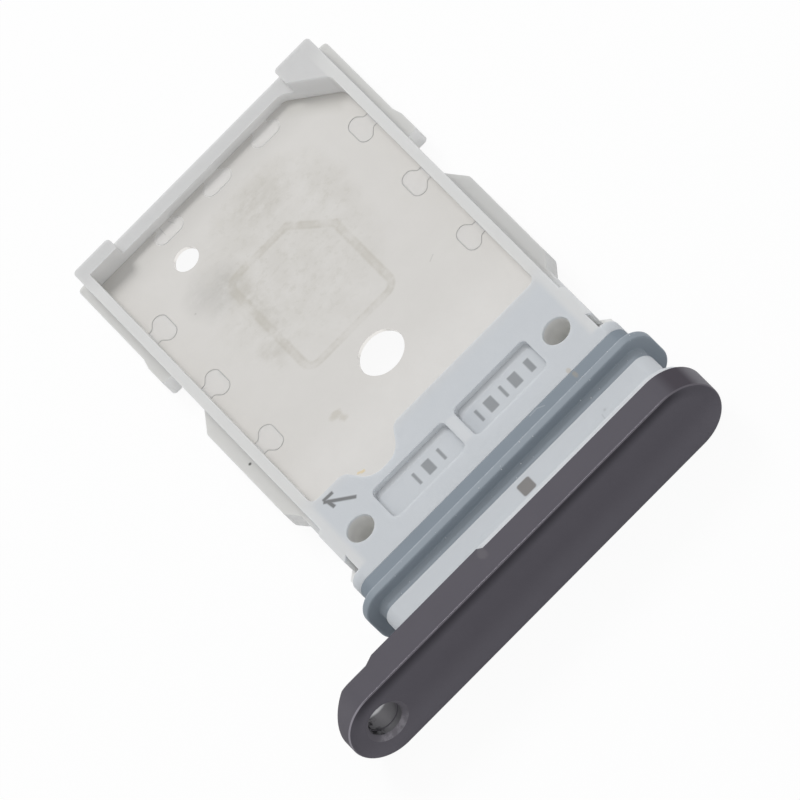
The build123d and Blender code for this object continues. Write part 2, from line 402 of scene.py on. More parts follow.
# Frame plastic. Places are millimetres from the card's centre, colours are linear
plasticLook = {
    "coolLow": (0.59, 0.613, 0.638), "coolHigh": (0.625, 0.646, 0.67), "plainLow": (0.617, 0.613, 0.608),
    "plainHigh": (0.651, 0.647, 0.642), "leftWing": (0.662, 0.656, 0.637), "rightWing": (0.584, 0.581, 0.568),
    "farWing": (0.634, 0.629, 0.611), "rail": (0.695, 0.692, 0.68), "blockSide": (0.705, 0.705, 0.70),
    "anchor": (0.73, 0.71, 0.685), "nearWall": (0.84, 0.87, 0.90), "farWall": (0.91, 0.905, 0.895),
    "pinHole": (0.82, 0.81, 0.785), "pinBottom": (0.93, 0.925, 0.90), "notch": (0.90, 0.89, 0.865),
    "bondStripHighlight": (0.73, 0.74, 0.755), "windowEnd": (0.88, 0.89, 0.90), "windowRim": (0.36, 0.37, 0.385),
    "bridge": (0.69, 0.70, 0.71), "windowDim": (0.38, 0.41, 0.45), "tick": (0.19, 0.20, 0.21),
    "arrow": (0.13, 0.13, 0.13), "square": (0.19, 0.175, 0.165), "scuff": (0.30, 0.30, 0.30),
    "rust": (0.50, 0.42, 0.31), "dot": (0.03, 0.028, 0.026), "roughness": 0.5, "gloss": 0.15,
    "glow": 0.45, "glowDepth": 0.25, "pinHoles": ((-3.95, -8.16), (3.87, -8.16)), "pinRadius": 0.50,
}
plasticMarks = {
    # Bands on the window floors along their far walls, where painted light lifts the shade
    "windowEnds": [((side, -7.56), (1.42, 0.12), 0.05, 0.06, 0.0) for side in (-1.625, 1.625)],
    "windowOuter": [((side, -8.16), (1.45, 0.71), 0.22, 0.03, 0.0) for side in (-1.625, 1.625)],
    "windowInner": [((side, -8.16), (1.37, 0.63), 0.16, 0.06, 0.0) for side in (-1.625, 1.625)],
    "bridge": [((0.0, -8.16), (0.15, 0.55), 0.1, 0.08, 0.0)],
    "dim": [((0.50, -8.25), (0.28, 0.5), 0.2, 0.18, 0.0)],
    "thinTicks": [((x, -8.18), (0.05, 0.26), 0.03, 0.03, 0.0) for x in (-1.84, -0.86, 0.66, 1.62)],
    "wideTicks": [((x, -8.18), (half, 0.26), 0.03, 0.03, 0.0)
                  for x, half in ((-1.36, 0.15), (1.12, 0.16), (2.08, 0.16), (2.66, 0.10))],
    "arrow": [((-3.80, -6.84), (0.54, 0.06), 0.02, 0.03, -0.75),
              ((-4.07, -6.71), (0.19, 0.06), 0.02, 0.03, -1.45),
              ((-3.99, -6.44), (0.19, 0.06), 0.02, 0.03, -0.05)],
    "square": [((0.205, -11.495), (0.235, 0.255), 0.08, 0.03, 0.0)],
    "scuffs": [((3.10, -11.76), (0.014, 0.16), 0.01, 0.03, -0.12),
               ((3.27, -11.55), (0.045, 0.045), 0.045, 0.04, 0.0),
               ((-2.12, 6.00), (0.012, 0.17), 0.01, 0.02, 0.0),
               ((-1.75, 6.02), (0.012, 0.14), 0.01, 0.02, 0.35)],
    "dot": [((-4.952, -2.81), (0.045, 0.045), 0.045, 0.03, 0.0)],
    "rust": [((3.32, -9.56), (0.09, 0.13), 3000, 0.5)],
}


def makePlastic(look, rows):
    material, tree, shader = newMaterial("palePlastic")
    place = objectPlace(tree)
    x, y, z = cardPlane(tree)
    fromMiddle = size(tree, x)
    farPart = smoothRange(tree, y, -6.7, -5.7)
    sunk = smoothRange(tree, z, 0.72, 0.66)  # window floors
    top = smoothRange(tree, z, 0.6, 0.7)
    cloud = noise(tree, place, 700, 4.0, 0.6)
    cool = mixColour(tree, cloud, look["coolLow"], look["coolHigh"])
    plain = mixColour(tree, cloud, look["plainLow"], look["plainHigh"])
    base = mixColour(tree, farPart, cool, plain)

    # Wings, rails, block sides and anchors differ a little in tone
    nearWing = mixColour(tree, smoothRange(tree, x, -1.0, 1.0), look["leftWing"], look["rightWing"])
    wing = mixColour(tree, smoothRange(tree, y, -1.0, 0.5), nearWing, look["farWing"])
    onWing = times(tree, smoothRange(tree, fromMiddle, 4.80, 4.86), farPart)
    onRail = times(tree, smoothRange(tree, fromMiddle, 4.36, 4.46), smoothRange(tree, y, -6.4, -5.6))
    onRail = times(tree, onRail, top, smoothRange(tree, y, 6.4, 5.2))
    blockSide = times(tree, smoothRange(tree, fromMiddle, 4.38, 4.62), smoothRange(tree, y, -5.6, -6.4))
    blockSide = times(tree, blockSide, smoothRange(tree, y, -9.3, -9.1))
    onAnchor = times(tree, smoothRange(tree, z, 0.1, 0.08), smoothRange(tree, fromMiddle, 4.46, 4.40))

    # Walls that face the user are painted lighter, a painted glow as if lit through from behind, and the pin
    # holes and side notches are painted pale against their shade
    wall = mixColour(tree, farPart, look["nearWall"], look["farWall"])
    paintedGlowShare = mixNumber(tree, farPart, 0.72, smoothRange(tree, z, 0.25, 0.06, 0.68, 1.0))
    holes = strongest(tree, [within(tree, x, y, hole, look["pinRadius"], 0.03) for hole in look["pinHoles"]])
    notch = times(tree, smoothRange(tree, fromMiddle, 4.78, 4.80), smoothRange(tree, y, -7.3, -7.6))
    notch = times(tree, notch, smoothRange(tree, z, 0.70, 0.60), smoothRange(tree, y, -9.24, -9.16))
    rims = []
    for outer, inner in zip(rows["windowOuter"], rows["windowInner"]):
        rims.append(minus(tree, marks(tree, [outer]), marks(tree, [inner])))

    base = layered(tree, base, [
        (onWing, 1.0, wing),
        (onRail, 1.0, look["rail"]),
        (blockSide, 0.8, look["blockSide"]),
        (onAnchor, 1.0, look["anchor"]),
        # Painted light: walls facing the user, lifted towards nearWall and farWall
        (times(tree, noted(tree, "wall"), paintedGlowShare), 1.0, wall),
        # Painted light: the pin holes, paler towards their bottoms, and the notches at the block's flanks,
        # against the shade in them
        (times(tree, holes, smoothRange(tree, z, 0.73, 0.60)), 0.85, look["pinHole"]),
        (times(tree, holes, smoothRange(tree, z, 0.45, 0.15)), 0.8, look["pinBottom"]),
        (notch, 0.5, look["notch"]),
        # Painted highlight on the raised bond strip behind the bar
        (smoothRange(tree, y, -12.09, -12.24), 1.0, look["bondStripHighlight"]),
        # Painted light on the window floors where their far walls shade them
        (times(tree, marks(tree, rows["windowEnds"]), sunk), 0.5, look["windowEnd"]),
        (strongest(tree, rims), 0.2, look["windowRim"]),
        (marks(tree, rows["bridge"]), 0.7, look["bridge"]),
        (times(tree, marks(tree, rows["dim"]), sunk), 0.25, look["windowDim"]),
        (marks(tree, rows["thinTicks"] + rows["wideTicks"]), 0.72, look["tick"]),
        (marks(tree, rows["arrow"]), 0.85, look["arrow"]),
        (marks(tree, rows["square"]), 0.88, look["square"]),
        (marks(tree, rows["scuffs"]), 0.34, look["scuff"]),
        (times(tree, blots(tree, rows["rust"]), top), 0.45, look["rust"]),
        (marks(tree, rows["dot"]), 0.95, look["dot"]),
    ])
    finishLook(tree, shader, base, look["roughness"], look["gloss"])
    shader.inputs["Subsurface Weight"].default_value = look["glow"]
    shader.inputs["Subsurface Radius"].default_value = (1.0, 1.0, 1.0)
    shader.inputs["Subsurface Scale"].default_value = look["glowDepth"] * unit
    addBump(tree, shader, noise(tree, place, 9000, 2.0), 0.15, 0.01)
    return material


# Plate steel, stained, with the faint mark of a card; painted shade along the far wall, the cut corner and
# the rails, and painted light on walls facing the user
steelLook = {
    "low": (0.70, 0.678, 0.648), "high": (0.735, 0.714, 0.684), "rim": (0.96, 0.94, 0.91),
    "nearEnd": (0.80, 0.78, 0.755), "foot": (0.46, 0.45, 0.425), "haze": (0.585, 0.56, 0.51),
    "spot": (0.48, 0.44, 0.36), "mottle": (0.60, 0.58, 0.545), "fleck": (0.47, 0.45, 0.385),
    "brown": (0.48, 0.455, 0.40), "grey": (0.45, 0.44, 0.42), "outline": (0.52, 0.49, 0.43),
    "cutShade": (0.44, 0.43, 0.38), "railShade": (0.40, 0.40, 0.38), "speck": (0.30, 0.29, 0.27),
    "fibre": (0.80, 0.60, 0.25), "roughness": 0.6, "rimRoughness": 0.3, "gloss": 0.2,
}
steelMarks = {
    "haze": [((-0.4, 1.4), (3.2, 3.6), 500, 0.25), ((0.4, 4.2), (1.9, 1.2), 700, 0.3),
             ((2.1, 2.5), (0.9, 2.2), 700, 0.3)],
    "brown": [((-1.70, 1.5), (0.50, 2.1), 900, 0.3), ((0.45, 4.2), (1.3, 0.9), 1300, 0.7),
              ((-2.27, -0.45), (0.50, 0.75), 1500, 0.7)],
    "spots": [((-2.24, -3.85), (0.26, 0.20), 2600, 0.8), ((-2.12, -4.08), (0.22, 0.20), 2600, 0.8)],
    "grey": [((-2.25, 2.90), (1.10, 1.05), 1300, 0.6)],
    "cutShade": [((3.56, 5.26), (0.95, 0.26), 0.1, 0.22, -0.838)],
    "specks": [((-3.091, 2.799), (0.03, 0.03), 0.03, 0.03, 0.0),
               ((2.83, -2.185), (0.12, 0.010), 0.01, 0.03, 0.5)],
    "fibre": [((-2.90, -6.02), (0.07, 0.035), 0.03, 0.03, -0.5),
              ((-2.80, -6.08), (0.07, 0.045), 0.03, 0.03, -0.2)],
}
cardMarkSizes = {
    "x": -0.133, "y": 0.39, "halfX": 1.85, "halfY": 2.435, "corner": 0.50, "soft": 0.05, "far": 5.0,
    "cut": 2.271, "cutX": 0.761, "cutY": 0.648, "cutRound": 0.02, "insets": (0.0, 0.06, 0.20, 0.26),
}


def cardMark(tree, s, inset):
    # Card shape with one cut corner, drawn smaller by an inset
    side = s["cut"] - inset - s["far"]
    turn = math.atan2(s["cutY"], s["cutX"])
    half = (s["halfX"] - inset, s["halfY"] - inset)
    body = marks(tree, [((s["x"], s["y"]), half, s["corner"] - inset, s["soft"], 0.0)])
    cutPlace = (side * s["cutX"], side * s["cutY"])
    corner = marks(tree, [(cutPlace, (s["far"], s["far"]), s["cutRound"], s["soft"], turn)])
    return math2(tree, "MINIMUM", body, corner)


def makeSteel(look, rows):
    material, tree, shader = newMaterial("stainedSteel")
    place = objectPlace(tree)
    x, y, z = cardPlane(tree)
    base = mixColour(tree, noise(tree, place, 420, 5.0, 0.6), look["low"], look["high"])
    mottle = smoothRange(tree, noise(tree, place, 1300, 6.0, 0.65), 0.28, 0.68)
    streaks = smoothRange(tree, noise(tree, stretched(tree, place, 1.0, 4.0), 1100, 5.0, 0.6), 0.35, 0.65)
    cloudy = plus(tree, times(tree, mottle, 0.8), times(tree, streaks, 0.2))
    flecks = smoothRange(tree, noise(tree, place, 3800, 6.0, 0.65), 0.50, 0.66)
    wearAndSheen = smoothRange(tree, noise(tree, place, 1300, 5.0, 0.65), 0.36, 0.62, 0.25, 1.0)
    haze = blots(tree, rows["haze"])
    shapes = [cardMark(tree, cardMarkSizes, inset) for inset in cardMarkSizes["insets"]]
    band = minus(tree, shapes[0], shapes[3])
    lines = minus(tree, band, minus(tree, shapes[1], shapes[2]))
    outline = plus(tree, times(tree, band, 0.7), times(tree, lines, 0.3))
    wall = noted(tree, "wall")
    base = layered(tree, base, [
        # Painted light: walls facing the user, the hole walls among them, are painted near white
        (wall, 0.9, look["rim"]),
        (smoothRange(tree, y, -3.2, -5.2), 0.5, look["nearEnd"]),
        # Painted shade: darker towards the far wall, where its shadow falls
        (smoothRange(tree, y, 4.8, 6.0), 0.28, look["foot"]),
        (times(tree, haze, cloudy), 0.44, look["haze"]),
        (blots(tree, rows["spots"]), 0.42, look["spot"]),
        (mottle, 0.10, look["mottle"]),
        (times(tree, haze, flecks), 0.20, look["fleck"]),
        (times(tree, blots(tree, rows["brown"]), cloudy), 0.38, look["brown"]),
        (times(tree, blots(tree, rows["grey"]), plus(tree, cloudy, 0.2)), 0.40, look["grey"]),
        (times(tree, outline, wearAndSheen), 0.60, look["outline"]),
        (marks(tree, rows["cutShade"]), 0.24, look["cutShade"]),
        (times(tree, smoothRange(tree, size(tree, x), 4.41, 4.455), mottle), 0.30, look["railShade"]),
        (marks(tree, rows["specks"]), 0.38, look["speck"]),
        (marks(tree, rows["fibre"]), 0.6, look["fibre"]),
    ])
    finishLook(tree, shader, base, look["roughness"], look["gloss"])

    # The stamped rims of the holes are bright metal
    tree.links.new(wall, shader.inputs["Metallic"])
    roughness = mixNumber(tree, wall, look["roughness"], look["rimRoughness"])
    tree.links.new(roughness, shader.inputs["Roughness"])
    addBump(tree, shader, noise(tree, place, 2500, 4.0), 0.12, 0.02)
    return material


# Seal rubber, with a painted highlight along the lip's back edge
rubberLook = {
    "low": (0.225, 0.265, 0.305), "high": (0.26, 0.30, 0.345), "lip": (0.32, 0.36, 0.40),
    "ahead": (0.42, 0.46, 0.50),
    "rim": (0.46, 0.495, 0.53), "lipHighlightY": -10.345, "rust": (0.42, 0.36, 0.27), "hair": (0.55, 0.58, 0.60),
    "roughness": 0.55, "gloss": 0.25,
}
rubberMarks = {
    "rust": [((3.39, -9.80), (0.09, 0.16), 3000, 0.5)],
    "hair": [((1.80, -9.70), (0.15, 0.012), 0.01, 0.02, 0.05),
             ((2.05, -9.75), (0.13, 0.012), 0.01, 0.02, -0.5)],
}


def makeRubber(look, rows):
    material, tree, shader = newMaterial("sealRubber")
    place = objectPlace(tree)
    x, y, z = cardPlane(tree)
    base = mixColour(tree, noise(tree, place, 900, 4.0), look["low"], look["high"])
    rim = smoothRange(tree, size(tree, minus(tree, y, look["lipHighlightY"])), 0.05, 0.02)
    highlightBreakup = smoothRange(tree, noise(tree, place, 5000, 4.0, 0.7), 0.40, 0.70, 0.35, 1.0)
    # Painted light on the band ahead of the lip, which the lip shades
    ahead = times(tree, smoothRange(tree, y, -10.62, -10.72), smoothRange(tree, y, -11.0, -10.86))
    base = layered(tree, base, [
        (smoothRange(tree, y, -10.28, -10.36), 0.5, look["lip"]),
        (ahead, 0.5, look["ahead"]),
        # Painted highlight along the lip's back edge, broken up by noise
        (times(tree, rim, highlightBreakup), 0.75, look["rim"]),
        (blots(tree, rows["rust"]), 0.5, look["rust"]),
        (marks(tree, rows["hair"]), 0.5, look["hair"]),
    ])
    finishLook(tree, shader, base, look["roughness"], look["gloss"])
    addBump(tree, shader, noise(tree, place, 6000, 3.0), 0.2, 0.01)
    return material


# Bar metals: anodised body, polished edge, countersink and bore
barLook = {
    "body": ((0.108, 0.101, 0.118), (0.12, 0.112, 0.13)), "lowFrontLight": (0.152, 0.143, 0.164),
    "shade": (0.02, 0.018, 0.024),
    "rightEndShade": (0.045, 0.035, 0.045), "rimLight": (0.34, 0.33, 0.35), "leftEndHighlight": (0.20, 0.19, 0.205),
    "nick": (0.24, 0.23, 0.24), "edge": ((0.118, 0.11, 0.127), (0.135, 0.126, 0.144)),
    "edgeGlint": (0.30, 0.285, 0.32),
    "sink": ((0.13, 0.122, 0.14), (0.16, 0.15, 0.17)), "sinkSheen": (0.42, 0.40, 0.43),
    "bore": ((0.14, 0.137, 0.145), (0.19, 0.186, 0.195)), "boreShade": (0.01, 0.01, 0.011),
    "boreEnd": (0.50, 0.50, 0.51),
    "gloss": 0.1, "straightHalf": 5.865, "endRadius": 1.27,
}
barNick = [((-1.965, -12.56), (0.16, 0.24), 2600, 0.7)]


def startAnodised(name, colours, metallic, roughness):
    material, tree, shader = newMaterial(name)
    place = objectPlace(tree)
    base = mixColour(tree, noise(tree, place, 1200, 4.0), *colours)
    shader.inputs["Metallic"].default_value = metallic
    finishLook(tree, shader, base, roughness, barLook["gloss"])
    addBump(tree, shader, noise(tree, place, 14000, 2.0), 0.15, 0.008)
    return material, tree, shader, base


def makeBarMetal(look):
    # The shade below the polished edge and round the ends follows the bar's outline
    material, tree, shader, base = startAnodised("darkAnodised", look["body"], 0.0, 0.7)
    x, y, z = cardPlane(tree)
    along = plus(tree, x, cardCentre.x)
    beyond = math2(tree, "MAXIMUM", minus(tree, size(tree, along), look["straightHalf"]), 0.0)
    depth = minus(tree, look["endRadius"], hypotenuse(tree, beyond, z))
    front = smoothRange(tree, y, -13.29, -13.32)
    behind = minus(tree, 1.0, front)
    upper = smoothRange(tree, z, -0.2, 0.7)
    shade = times(tree, smoothRange(tree, depth, 0.50, 0.06), front, upper)
    shade = times(tree, shade, smoothRange(tree, beyond, 0.9, 0.1, 0.2, 1.0))
    # Painted shade on the top of the curved right end
    rightEndShade = times(tree, smoothRange(tree, along, 6.05, 6.45), smoothRange(tree, along, 7.0, 6.75))
    base = layered(tree, base, [
        # Painted light: the lower front is lighter, as if lit from the floor
        (times(tree, smoothRange(tree, z, 0.1, -1.1), front), 1.0, look["lowFrontLight"]),
        (shade, 0.75, look["shade"]),
        (times(tree, rightEndShade, behind, upper), 0.55, look["rightEndShade"]),
        (times(tree, smoothRange(tree, along, 6.75, 7.12), behind), 0.5, look["rimLight"]),
        # Painted highlight on the top of the left end
        (times(tree, smoothRange(tree, along, -5.9, -6.6), behind, upper), 0.25, look["leftEndHighlight"]),
        (times(tree, blots(tree, barNick), upper), 0.22, look["nick"]),
    ])
    tree.links.new(base, shader.inputs["Base Color"])
    return material


def makeCutMetal(look):
    # Painted glint where the polished edge turns round the left end
    material, tree, shader, base = startAnodised("cutEdge", look["edge"], 0.8, 0.32)
    x, y, z = cardPlane(tree)
    turn = times(tree, smoothRange(tree, x, -7.0, -7.6), smoothRange(tree, z, -0.1, 0.5))
    base = layered(tree, base, [(turn, 0.8, look["edgeGlint"])])
    tree.links.new(base, shader.inputs["Base Color"])
    return material


def makeSinkMetal(look):
    # Painted sheen in patches along the countersink's lower half, which faces up
    material, tree, shader, base = startAnodised("sinkMetal", look["sink"], 0.2, 0.5)
    x, y, z = cardPlane(tree)
    patches = smoothRange(tree, noise(tree, objectPlace(tree), 5200, 4.0, 0.6), 0.40, 0.62, 0.35, 1.0)
    wearAndSheen = times(tree, smoothRange(tree, z, -0.25, -0.55), patches)
    base = layered(tree, base, [(wearAndSheen, 0.5, look["sinkSheen"])])
    tree.links.new(base, shader.inputs["Base Color"])
    return material


def makeBoreMetal(look):
    # Smooth grey, with painted shade at its left and painted daylight at its open end
    material, tree, shader, base = startAnodised("boreMetal", look["bore"], 0.1, 0.6)
    x, y, z = cardPlane(tree)
    spots = smoothRange(tree, noise(tree, objectPlace(tree), 4200, 4.0, 0.6), 0.44, 0.58)
    boreLeftShade = times(tree, smoothRange(tree, x, -7.36, -7.52), spots)
    openEnd = smoothRange(tree, y, -12.40, -12.30)
    base = layered(tree, base, [(boreLeftShade, 0.9, look["boreShade"]), (openEnd, 1.0, look["boreEnd"])])
    tree.links.new(base, shader.inputs["Base Color"])
    return material


# Seams and dust
seamLook = {"low": (0.54, 0.535, 0.52), "high": (0.66, 0.65, 0.63), "far": (0.76, 0.75, 0.73)}
dustLook = {"low": (0.62, 0.64, 0.66), "high": (0.80, 0.81, 0.82)}


def makeSeam(look):
    # Shadow line round the anchors, fainter at the far wall
    material, tree, shader = newMaterial("seamGrey")
    x, y, z = cardPlane(tree)
    base = mixColour(tree, noise(tree, objectPlace(tree), 3000, 3.0), look["low"], look["high"])
    base = mixColour(tree, smoothRange(tree, y, 4.4, 5.2), base, look["far"])
    finishLook(tree, shader, base, 0.7, 0.2)
    return material


def makeDust(look):
    material, tree, shader = newMaterial("paleDust")
    base = mixColour(tree, noise(tree, objectPlace(tree), 8000, 2.0), look["low"], look["high"])
    finishLook(tree, shader, base, 0.9, 0.1)
    return material


plastic = makePlastic(plasticLook, plasticMarks)
steel = makeSteel(steelLook, steelMarks)
rubber = makeRubber(rubberLook, rubberMarks)
barMetal = makeBarMetal(barLook)
cutMetal = makeCutMetal(barLook)
boreMetal = makeBoreMetal(barLook)
sinkMetal = makeSinkMetal(barLook)
seamGrey = makeSeam(seamLook)
dust = makeDust(dustLook)
print("materials ready")


# Plastic frame and steel plate, from merged copies with softened edges
frameSizes = {
    "edge": 0.024, "blockEdge": 0.010, "seam": 0.018, "railSide": 4.46, "farWall": 6.21, "nearWall": -6.21,
    "blockFront": -9.1, "blockSide": 4.7, "slack": 0.002, "foot": 0.01, "plateHalf": 0.065, "sharp": 40,
}
plateHoles = [((-0.07, -3.37), 0.8), ((-2.18, 4.57), 0.45)]  # kept clear of seams


def seamEdges(source, s, keepClear):
    # Edges round the anchors, where plate and moulding meet at the plate's upper face
    chosen = []
    for edge in source.edges:
        points = fromCard(edge)
        level = all(abs(p.z - plateTop) < s["slack"] for p in points)
        inside = all(abs(p.x) < s["railSide"] + s["slack"] and p.y < s["farWall"] + s["slack"]
                     for p in points)
        farther = all(p.y > s["nearWall"] + 1.0 for p in points)
        atWall = all(p.y > s["farWall"] - s["foot"] for p in points)
        atRail = all(abs(p.x) > s["railSide"] - s["foot"] for p in points)
        clear = all((p.xy - Vector(hole)).length > reach for p in points for hole, reach in keepClear)
        wanted = level and inside and farther and clear and not atWall and not atRail
        if wanted and edge.is_convex and edgeAngle(edge) > 1.0:
            chosen.append(edge)
    return chosen


def softEdges(source, s, near):
    # Outer edges of the block, which is crisper, or of the rest
    chosen = []
    for edge in source.edges:
        points = fromCard(edge)
        hidden = any(abs(p.z) < s["plateHalf"] and abs(p.x) < s["blockSide"] for p in points)
        onBlock = all(
            s["blockFront"] < p.y < s["nearWall"] + s["foot"] and abs(p.x) < s["blockSide"] for p in points
        )
        sharp = edge.is_convex and edgeAngle(edge) > math.radians(s["sharp"])
        if sharp and not hidden and onBlock == near:
            chosen.append(edge)
    return chosen


def noteWalls(mesh):
    # Walls that face the user, and side walls at the far half, are noted for the materials, which paint them
    # lighter
    wall = mesh.attributes.new("wall", "FLOAT", "FACE")
    facing = []
    for face in mesh.polygons:
        sideways = 1.2 * abs(face.normal.x) if face.center.y > 0 else 0.0
        facing.append(min(max(max(-1.6 * face.normal.y, sideways) - 0.3, 0.0), 1.0))
    wall.data.foreach_set("value", facing)


def makePlate(s):
    shape = mergedCopy("steel_plate")
    bevelEdges(shape, seamEdges(shape, s, plateHoles), s["seam"], 1, 1)
    piece = linkPiece("cardPlate", finishMesh(shape, "cardPlate", 30), "steel_plate")
    paint(piece, steel, seamGrey)
    noteWalls(piece.data)


def makeFrame(s):
    shape = mergedCopy("plastic_frame")
    bevelEdges(shape, seamEdges(shape, s, []), s["seam"], 1, 1)
    bevelEdges(shape, softEdges(shape, s, True), s["blockEdge"], 1)
    bevelEdges(shape, softEdges(shape, s, False), s["edge"], 2)
    piece = linkPiece("trayFrame", finishMesh(shape, "trayFrame", 35), "plastic_frame")
    paint(piece, plastic, seamGrey)
    noteWalls(piece.data)
    weightNormals(piece)


makePlate(frameSizes)
makeFrame(frameSizes)
print("frame and plate ready")


# Rubber seal, lofted round the plug, with grains of dust
sealSizes = {
    "centreX": 1.295, "centreZ": 1.27, "width": 10.48, "height": 1.50, "corner": 0.45, "back": -6.34,
    "length": 1.40, "depth": 0.28, "drop": 0.04, "flush": 0.012, "lipStart": 0.67, "lipWidth": 0.33,
    "lipReach": 0.38, "lipRise": 0.30, "backRound": 0.06, "frontRound": 0.06, "rootRound": 0.05, "rim": 0.03,
    "steps": 20,
}
dustSizes = {
    "radius": 0.010, "density": 3.5, "seed": 7, "narrow": 0.4, "wide": 2.2, "start": -7.0, "lean": 0.3,
    "subdivisions": 2,
}


def sealProfile(s):
    # Pairs of distance from the flange and growth of the section
    start, end = s["lipStart"], s["lipStart"] + s["lipWidth"]
    root, back, front = s["rootRound"], s["backRound"], s["frontRound"]
    drop, rise, rim, length = -s["drop"], s["lipRise"], s["rim"], s["length"]
    profile = [(0.0, -s["depth"]), (0.0, -s["flush"]), (2 * rim, -s["flush"]), (8 * rim, drop)]
    profile += [(start - root + root * sine, drop + root - root * cosine) for sine, cosine in quarter(6)]
    profile += [(start + back - back * cosine, rise - back + back * sine) for sine, cosine in quarter(6)]
    profile += [(end - front + front * sine, rise - front + front * cosine) for sine, cosine in quarter(8)]
    profile += [(end + root - root * cosine, drop + root - root * sine) for sine, cosine in quarter(6)]
    return profile + [(length - rim, drop), (length, drop - rim), (length, -s["depth"])]


def makeSeal(s):
    loops = []
    for along, growth in sealProfile(s):
        sideways = growth * s["lipReach"] / s["lipRise"] if growth > 0 else growth
        wide, high, corner = s["width"] + 2 * sideways, s["height"] + 2 * growth, s["corner"] + growth
        y = s["back"] - along
        loops.append(roundedSection(wide, high, corner, y, s["centreX"], s["centreZ"], s["steps"]))
    shape = bmesh.new()
    shape.from_mesh(loft("sealRing", loops, ring=True))
    piece = linkPiece("plugSeal", finishMesh(shape, "plugSeal", 40), "seal_ring")
    paint(piece, rubber)
    return piece


def dustTree(s):
    # Small grains scattered over a surface
    tree = bpy.data.node_groups.new("dustScatter", "GeometryNodeTree")
    inputs = {"Geometry": "Geometry", "Density": "Float", "Radius": "Float", "Widest": "Float", "Seed": "Int"}
    for label, kind in inputs.items():
        tree.interface.new_socket(label, in_out="INPUT", socket_type="NodeSocket" + kind)
    tree.interface.new_socket("Geometry", in_out="OUTPUT", socket_type="NodeSocketGeometry")
    entry, leave = tree.nodes.new("NodeGroupInput").outputs, tree.nodes.new("NodeGroupOutput").inputs
    scatter = tree.nodes.new("GeometryNodeDistributePointsOnFaces")
    grain = tree.nodes.new("GeometryNodeMeshIcoSphere")
    vary = tree.nodes.new("FunctionNodeRandomValue")
    place = tree.nodes.new("GeometryNodeInstanceOnPoints")
    realize = tree.nodes.new("GeometryNodeRealizeInstances")
    coat = tree.nodes.new("GeometryNodeSetMaterial")
    grain.inputs["Subdivisions"].default_value = s["subdivisions"]
    vary.data_type = "FLOAT"
    vary.inputs[2].default_value = s["narrow"]
    coat.inputs["Material"].default_value = dust
    for first, second in (
        (entry["Geometry"], scatter.inputs["Mesh"]),
        (entry["Density"], scatter.inputs["Density"]),
        (entry["Seed"], scatter.inputs["Seed"]),
        (entry["Radius"], grain.inputs["Radius"]),
        (entry["Widest"], vary.inputs[3]),
        (entry["Seed"], vary.inputs["Seed"]),
        (scatter.outputs["Points"], place.inputs["Points"]),
        (grain.outputs["Mesh"], place.inputs["Instance"]),
        (vary.outputs[1], place.inputs["Scale"]),
        (place.outputs["Instances"], realize.inputs["Geometry"]),
        (realize.outputs["Geometry"], coat.inputs["Geometry"]),
        (coat.outputs["Geometry"], leave["Geometry"]),
    ):
        tree.links.new(first, second)
    return tree


def makeDustOn(piece, s):
    # Grains lie on the upper faces of the lip and ahead of it
    shape = bmesh.new()
    shape.from_mesh(piece.data)
    bare = []
    for face in shape.faces:
        centre = face.calc_center_median() / unit
        if face.normal.z < s["lean"] or centre.z < cardCentre.z or centre.y > s["start"]:
            bare.append(face)
    bmesh.ops.delete(shape, geom=bare, context="FACES")
    base = bpy.data.meshes.new("dustBase")
    shape.to_mesh(base)
    shape.free()
    holder = looseObject("dustBase", base)
    change = holder.modifiers.new("scatter", "NODES")
    change.node_group = dustTree(s)
    values = {"Density": s["density"] / unit ** 2, "Radius": s["radius"] * unit, "Widest": s["wide"]}
    values["Seed"] = s["seed"]
    for socket in change.node_group.interface.items_tree:
        if socket.in_out == "INPUT" and socket.name in values:
            change[socket.identifier] = values[socket.name]
    grains = evaluatedMesh(holder)
    holder.modifiers.remove(change)
    bpy.data.objects.remove(holder)
    grains.name = "sealDust"
    linkPiece("sealDust", grains)


makeDustOn(makeSeal(sealSizes), dustSizes)
print("seal ready")


# Face bar: a long rounded section trimmed by its outline seen from above, then drilled
barSizes = {
    "length": 14.27, "height": 2.54, "front": -10.03, "back": -9.11, "edge": 0.045, "heelBack": -8.97,
    "heelLeft": -5.205, "heelRight": -0.565, "heelLead": 0.32, "heelDrop": 0.16, "tipLength": 0.95,
    "tipDepth": 0.42, "holeX": -5.885, "bore": 0.55, "countersink": 0.14, "ringDepth": 0.36,
    "ringWidth": 0.05,
    "ringHeight": 0.02, "ringSlope": 0.01, "guideBack": -8.88, "guideWall": 0.30, "steps": 48, "turns": 96,
}


def barOutline(s):
    left, right, back = -s["length"] / 2, s["length"] / 2, s["back"]
    return [
        (left - 1, s["front"] - 1), (right + 1, s["front"] - 1), (right + 1, back), (s["heelRight"], back),
        (s["heelRight"] - s["heelDrop"], s["heelBack"]), (s["heelLeft"] + s["heelLead"], s["heelBack"]),
        (s["heelLeft"], back), (left + s["tipLength"], back), (left, back - s["tipDepth"]),
        (left - 1, back - s["tipDepth"] * (1 + 1 / s["tipLength"])),
    ]


def barBody(s):
    edge = s["edge"]
    rows = [(s["front"] + edge * (1 - cosine), edge * (1 - sine)) for sine, cosine in quarter(6)]
    rows.append((s["heelBack"] + 0.5, 0.0))
    loops = []
    for y, inset in rows:
        radius = s["height"] / 2 - inset
        wide = s["length"] - 2 * inset
        loops.append(roundedSection(wide, 2 * radius, radius - 1e-4, y, 0.0, s["height"] / 2, s["steps"]))
    return looseObject("barBody", loft("barBody", loops))


def turned(s, name, profile):
    # Round solid on the axis of the ejector hole
    angles = [2 * math.pi * k / s["turns"] for k in range(s["turns"])]
    x, z = s["holeX"], s["height"] / 2
    loops = [[(x + r * math.cos(t), y, z + r * math.sin(t)) for t in angles] for y, r in profile]
    return looseObject(name, loft(name, loops))


